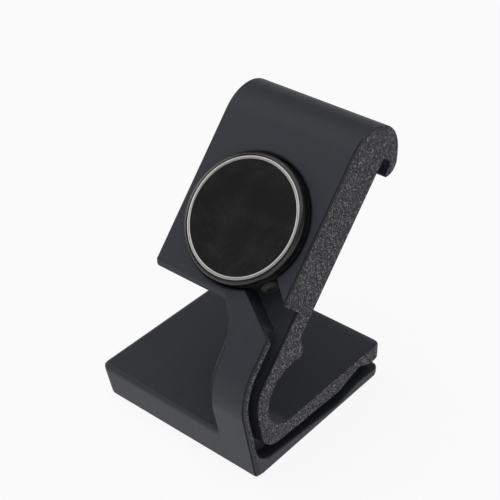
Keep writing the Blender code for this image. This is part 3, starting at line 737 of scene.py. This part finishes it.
def seat_foot_corners(item, radius):
    """Lay the base's two lower corners at the left on even curves, where rounded edges meet."""
    edit = bmesh.new()
    edit.from_mesh(item.data)
    left = min(corner.co.x for corner in edit.verts if corner.co.z < BASE_TOP)
    front = min(corner.co.y for corner in edit.verts if corner.co.z < FOOT_EDGE + WELD)
    centre_x = left + radius
    ends = ((-1.0, front, FOOT_EDGE, FRONT_LEAN), (1.0, BACK_FACE, HEEL_EDGE, 0.0))
    for way, face_y, edge, lean in ends:
        centre_y = face_y - way * radius / math.cos(lean)
        for normal in (Vector((1.0, 0.0, 0.0)), Vector((0.0, 1.0, 0.0))):
            low = [face for face in edit.faces if all(corner.co.z < edge + WELD for corner in face.verts)]
            parts = {part for face in low for part in (face, *face.edges, *face.verts)}
            bmesh.ops.bisect_plane(edit, geom=list(parts), dist=WELD, plane_no=normal,
                                   plane_co=(centre_x, centre_y, 0.0))
        for corner in edit.verts:
            height = corner.co.z
            across = corner.co.x - centre_x
            along = (corner.co.y - centre_y) * way
            if height > edge - WELD or across > -WELD or along < WELD:
                continue
            reach = radius / math.cos(lean) - (edge - height) * math.tan(lean) - lower_inset(height, edge)
            share = math.hypot(across / (radius - lower_inset(height, FOOT_EDGE)), along / reach)
            if share > 1.0:
                corner.co.x = centre_x + across / share
                corner.co.y = centre_y + way * along / share
    edit.to_mesh(item.data)
    edit.free()


def seat_corner(item, radius):
    """Lay the base's upright corner at the rear right on one even arc."""
    corners = item.data.vertices
    right = max(corner.co.x for corner in corners)
    back = max(corner.co.y for corner in corners if corner.co.z < BASE_TOP)
    centre = Vector((right - radius, back - radius))
    for corner in corners:
        arm = Vector((corner.co.x, corner.co.y)) - centre
        if corner.co.z > BASE_TOP + WELD or min(arm) < -WELD or max(arm) < WELD:
            continue
        if corner.co.x > right - WELD:
            corner.co.y = centre.y
        elif min(arm) > WELD:
            corner.co.x, corner.co.y = centre + arm.normalized() * radius


def edge_share(edge, least):
    """How round an edge is, from 0 to 1: the foot's front corner most, then the base's rear corner."""
    if len(edge.link_faces) != 2 or edge.calc_face_angle() < SOFT_EDGE_ANGLE:
        return 0.0
    ends = [end.co for end in edge.verts]
    low = min(end.z for end in ends)
    high = max(end.z for end in ends)
    back = min(end.y for end in ends)
    right = min(end.x for end in ends)
    front = min(edge.link_faces, key=lambda face: face.normal.y)
    upward = max(face.normal.z for face in edge.link_faces)
    leftward = -min(face.normal.x for face in edge.link_faces)
    rest = least if edge.calc_face_angle() > SHARP_EDGE_ANGLE else 0.0

    # Sharp: the facets of the lower left corners, and the inner end of the channel's rear mouth
    facet = high < FOOT_TOP and edge.calc_length() < SHORT_EDGE and right < CORNER_SIDE
    inner = abs(right - CHANNEL_WALL) < WELD and back > CHANNEL_REAR
    if facet or (inner and low > FOOT_TOP and high < CHANNEL_ROOF):
        return 0.0

    # The base's top edge, round its rear right corner
    if high < BASE_TOP + WELD and low > CHANNEL_ROOF and back > CORNER_BACK and right > CORNER_SIDE:
        return CORNER_SHARE

    # Away from the bed side: the riser's left front edge and the base's front top edge
    if right < BED_SIDE - WELD:
        riser = leftward > TURNED and right > RISER_SIDE and low > BASE_TOP - WELD and high < RISER_TOP
        plate = upward > LEVEL and low > BASE_TOP / 2 and high < BASE_TOP + WELD
        return FIRM_SHARE if front.normal.y < -TURNED and (riser or plate) else rest

    # On the bed side: the base's lowest and top edges, the channel's sills and the riser's front edge
    if high < WELD or low > BASE_TOP - WELD and high < BASE_TOP + WELD:
        return FIRM_SHARE
    if high < CHANNEL_SILL and upward > SILL_LEVEL:
        return SILL_SHARE
    wide = min(corner.co.x for corner in front.verts) < SKIN_SIDE
    if wide and front.normal.y < -LEANING and high < FRONT_EDGE_TOP:
        climb = ((low + high) / 2 - FRONT_EDGE_SOFT) / (FRONT_EDGE_TOP - FRONT_EDGE_SOFT)
        return 1.0 - FRONT_FADE * min(max(climb, 0.0), 1.0)
    return rest


def round_edges(item, radius, least_radius):
    """Round every edge as the nozzle does, and the few softer ones by their own share of the radius."""
    edit = bmesh.new()
    edit.from_mesh(item.data)
    shares = [edge_share(edge, least_radius / radius) for edge in edit.edges]
    edit.free()
    weights = item.data.attributes.new("bevel_weight_edge", "FLOAT", "EDGE")
    for weight, share in zip(weights.data, shares):
        weight.value = share
    apply_modifier(item, "BEVEL", width=radius, segments=EDGE_STEPS, limit_method="WEIGHT",
                   use_clamp_overlap=False, loop_slide=False)
    item.data.attributes.remove(item.data.attributes["bevel_weight_edge"])


class DOCK_OT_stand(bpy.types.Operator):
    """Make the printed stand from the frame, with the edges that a nozzle leaves"""

    bl_idname = "dock.stand"
    bl_label = "Make Stand"

    def execute(self, context):
        settings = context.scene.dock_stand
        stand = copy_of("dock_body", "stand")
        seat_foot_corners(stand, settings.corner_radius)
        seat_corner(stand, settings.corner_radius)
        round_edges(stand, settings.soft_edge_radius, settings.edge_radius)
        shade_round(stand, SMOOTH_ANGLE)
        dress(stand, printed_plastic(settings), "printed_plastic", "dock_body")
        return {"FINISHED"}


class DOCK_OT_puck(bpy.types.Operator):
    """Make the puck's dished cover, its metal ring and its housing"""

    bl_idname = "dock.puck"
    bl_label = "Make Puck"

    def execute(self, context):
        settings = context.scene.dock_puck
        place = puck_place()
        origin = place.translation
        low, high, outer = along_axis("puck_cover", origin, PUCK_AXIS)
        edge = 0.8 * MM
        edge_steps = 8
        groove_depth = 0.15 * MM
        gap = 0.04 * MM
        ring_outer = outer - settings.trim_inset
        ring_inner = ring_outer - settings.trim_width
        dish = ring_inner - 0.15 * MM
        dish_depth = 0.7 * MM
        dish_steps = 14
        sphere = (dish ** 2 + dish_depth ** 2) / (2 * dish_depth)
        wall = 1.2 * MM
        spigot_outer = outer - wall - 0.3 * MM
        spigot_inner = outer - wall - 1.2 * MM
        shoulder = low + 1.1 * MM
        roof = high - dish_depth - wall

        profile = []
        for number in range(dish_steps + 1):
            x = dish * number / dish_steps
            drop = sphere - math.sqrt(sphere ** 2 - x ** 2)
            profile.append((x, high - dish_depth + drop))
        profile += [(ring_inner - gap, high), (ring_inner - gap, high - groove_depth),
                    (ring_outer + gap, high - groove_depth), (ring_outer + gap, high)]
        profile += arc((outer - edge, high - edge), edge, 90, 0, edge_steps)[1:]
        profile += [(outer, shoulder), (spigot_outer, shoulder), (spigot_outer, low),
                    (spigot_inner, low), (spigot_inner, roof), (0.0, roof)]
        cover = turn_profile("puck_dish", profile, settings.turn_steps, place)
        shade_round(cover, SMOOTH_ANGLE)
        dress(cover, puck_gloss(settings), "puck_gloss", "puck_cover")

        ring_low = high - groove_depth + 0.01 * MM
        round_over = 0.06 * MM
        ring_profile = [(ring_inner, ring_low), (ring_inner, high - round_over),
                        (ring_inner + round_over, high), (ring_outer - round_over, high),
                        (ring_outer, high - round_over), (ring_outer, ring_low), (ring_inner, ring_low)]
        ring = turn_profile("puck_trim_ring", ring_profile, settings.turn_steps, place)
        shade_round(ring, RING_SMOOTH_ANGLE)
        metal = brushed_metal("satin_metal", tuple(settings.trim_colour), origin)
        dress(ring, metal, "magnet_nickel")

        housing = copy_of("puck_housing", "puck_shell")
        shade_round(housing, SMOOTH_ANGLE)
        shell = moulded("moulded_black", (0.018, 0.018, 0.02),
                        grain=0.12 * MM, depth=0.01 * MM, roughness=(0.42, 0.52))
        dress(housing, shell, "puck_shell", "puck_housing")
        return {"FINISHED"}


class DOCK_OT_lead_bush(bpy.types.Operator):
    """Make the rubber bush that the lead enters the puck through"""

    bl_idname = "dock.lead_bush"
    bl_label = "Make Lead Bush"

    def execute(self, context):
        bush = copy_of("lead_gland", "lead_bush")
        shade_round(bush, SMOOTH_ANGLE)
        rubber = moulded("bush_rubber", (0.02, 0.02, 0.02),
                         grain=0.18 * MM, depth=0.02 * MM, roughness=(0.68, 0.8))
        dress(bush, rubber, "gland_rubber", "lead_gland")
        return {"FINISHED"}


class DOCK_OT_inner_parts(bpy.types.Operator):
    """Finish the parts inside the puck"""

    bl_idname = "dock.inner_parts"
    bl_label = "Finish Inner Parts"

    def execute(self, context):
        centre = puck_place().translation
        finishes = {
            "alignment_magnet": brushed_metal("nickel_plate", (0.62, 0.6, 0.57), centre),
            "charging_coil": copper_winding(centre),
            "ferrite_sheet": moulded("sintered_ferrite", (0.045, 0.045, 0.05),
                                     grain=0.25 * MM, depth=0.02 * MM, roughness=(0.5, 0.7)),
            "circuit_board": board_mask(),
            "charging_chip": moulded("epoxy_black", (0.018, 0.018, 0.018),
                                     grain=0.06 * MM, depth=0.004 * MM, roughness=(0.4, 0.5)),
            "board_capacitor": capacitor_finish(),
        }
        for node, material in finishes.items():
            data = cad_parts[node].data
            if data.materials:
                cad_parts[node].material_slots[0].material = material
            else:
                data.materials.append(material)
        return {"FINISHED"}


def floor_material(colour):
    """A pale floor that the camera sees as near white, and that keeps the object's shadow."""
    glow_share = 0.9
    material = bpy.data.materials.new("pale_floor")
    material.use_nodes = True
    tree = material.node_tree
    tree.nodes.remove(tree.nodes["Principled BSDF"])
    path = put(tree, "ShaderNodeLightPath").outputs
    seen = reckon(tree, "MAXIMUM", path["Is Camera Ray"], path["Is Glossy Ray"])
    seen = reckon(tree, "MAXIMUM", seen, path["Is Transmission Ray"])
    share = reckon(tree, "MULTIPLY", seen, glow_share)
    matte = put(tree, "ShaderNodeBsdfDiffuse", {"Color": (*colour, 1.0)}).outputs[0]
    glow = put(tree, "ShaderNodeEmission", {"Color": (1.0, 1.0, 1.0, 1.0), "Strength": 1.0}).outputs[0]
    mixed = put(tree, "ShaderNodeMixShader", {0: share, 1: matte, 2: glow}).outputs[0]
    tree.links.new(mixed, tree.nodes["Material Output"].inputs["Surface"])
    return material


def set_world(dome_light):
    """A surround that is white at the horizon, like the floor, and dimmer overhead."""
    horizon = 0.04
    overhead = 0.42
    world = bpy.data.worlds.new("studio")
    bpy.context.scene.world = world
    world.use_nodes = True
    tree = world.node_tree
    way = put(tree, "ShaderNodeTexCoord").outputs["Generated"]
    height = split_axes(tree, way)["Z"]
    strength = remap(tree, height, horizon, overhead, 1.0, dome_light)
    background = tree.nodes["Background"]
    background.inputs["Color"].default_value = (1.0, 1.0, 1.0, 1.0)
    tree.links.new(strength, background.inputs["Strength"])


def add_lamp(name, place, target, size, power):
    """A square soft lamp that faces a target."""
    way = Vector(target) - Vector(place)
    turn = way.to_track_quat("-Z", "Y").to_euler()
    bpy.ops.object.light_add(type="AREA", radius=size, location=place, rotation=turn)
    lamp = bpy.context.object
    lamp.name = name
    lamp.data.shape = "SQUARE"
    lamp.data.size = size
    lamp.data.energy = power


class DOCK_OT_stage(bpy.types.Operator):
    """Make the floor, the surround, the lamps and the camera"""

    bl_idname = "dock.stage"
    bl_label = "Make Stage"

    def execute(self, context):
        settings = context.scene.dock_stage
        bpy.ops.object.select_all(action="DESELECT")
        bpy.ops.mesh.primitive_plane_add(size=settings.floor_size, location=(0.0, 0.0, 0.0))
        floor = context.object
        floor.name = "floor"
        floor.data.materials.append(floor_material(settings.floor_colour))
        set_world(settings.dome_light)
        middle = (CAD_LOW + CAD_HIGH) / 2
        add_lamp("key_lamp", KEY_PLACE, middle, KEY_SIZE, settings.key_power)
        add_lamp("fill_lamp", FILL_PLACE, middle, FILL_SIZE, settings.fill_power)
        add_lamp("rim_lamp", RIM_PLACE, middle, RIM_SIZE, settings.rim_power)

        bpy.ops.object.camera_add(location=CAMERA_PLACE)
        camera = context.object
        turn = Matrix.Rotation(CAMERA_AZIMUTH, 4, "Z")
        turn = turn @ Matrix.Rotation(math.pi / 2 - CAMERA_ELEVATION, 4, "X")
        turn = turn @ Matrix.Rotation(CAMERA_ROLL, 4, "Z")
        camera.rotation_euler = turn.to_euler()
        camera.data.lens = CAMERA_LENS
        camera.data.clip_start = CAMERA_NEAR
        context.scene.camera = camera
        context.scene.view_settings.view_transform = "Standard"
        return {"FINISHED"}


class DOCK_PT_panel(bpy.types.Panel):
    """The dock's steps, in order"""

    bl_idname = "DOCK_PT_panel"
    bl_label = "Watch Charging Dock"
    bl_space_type = "VIEW_3D"
    bl_region_type = "UI"
    bl_category = "Dock"

    def draw(self, context):
        for title, settings, steps in (
            ("Stand", context.scene.dock_stand, ["dock.stand"]),
            ("Puck", context.scene.dock_puck, ["dock.puck", "dock.lead_bush", "dock.inner_parts"]),
            ("Stage", context.scene.dock_stage, ["dock.stage"]),
        ):
            box = self.layout.box()
            box.label(text=title)
            for name in settings.__annotations__:
                box.prop(settings, name)
            for step in steps:
                box.operator(step)


SETTINGS = {
    "dock_stand": DockStandSettings,
    "dock_puck": DockPuckSettings,
    "dock_stage": DockStageSettings,
}
OPERATORS = (DOCK_OT_stand, DOCK_OT_puck, DOCK_OT_lead_bush, DOCK_OT_inner_parts, DOCK_OT_stage)


def register():
    """Add the dock's classes and their settings."""
    for settings in SETTINGS.values():
        bpy.utils.register_class(settings)
    for kind in (*OPERATORS, DOCK_PT_panel):
        bpy.utils.register_class(kind)
    for name, settings in SETTINGS.items():
        setattr(bpy.types.Scene, name, PointerProperty(type=settings))


def unregister():
    """Take the settings and the classes away again."""
    for name in SETTINGS:
        delattr(bpy.types.Scene, name)
    for kind in (DOCK_PT_panel, *reversed(OPERATORS)):
        bpy.utils.unregister_class(kind)
    for settings in SETTINGS.values():
        bpy.utils.unregister_class(settings)


def main():
    """Make every piece and the stage."""
    register()
    bpy.ops.dock.stand()
    bpy.ops.dock.puck()
    bpy.ops.dock.lead_bush()
    bpy.ops.dock.inner_parts()
    bpy.ops.dock.stage()


if __name__ == "__main__":
    main()
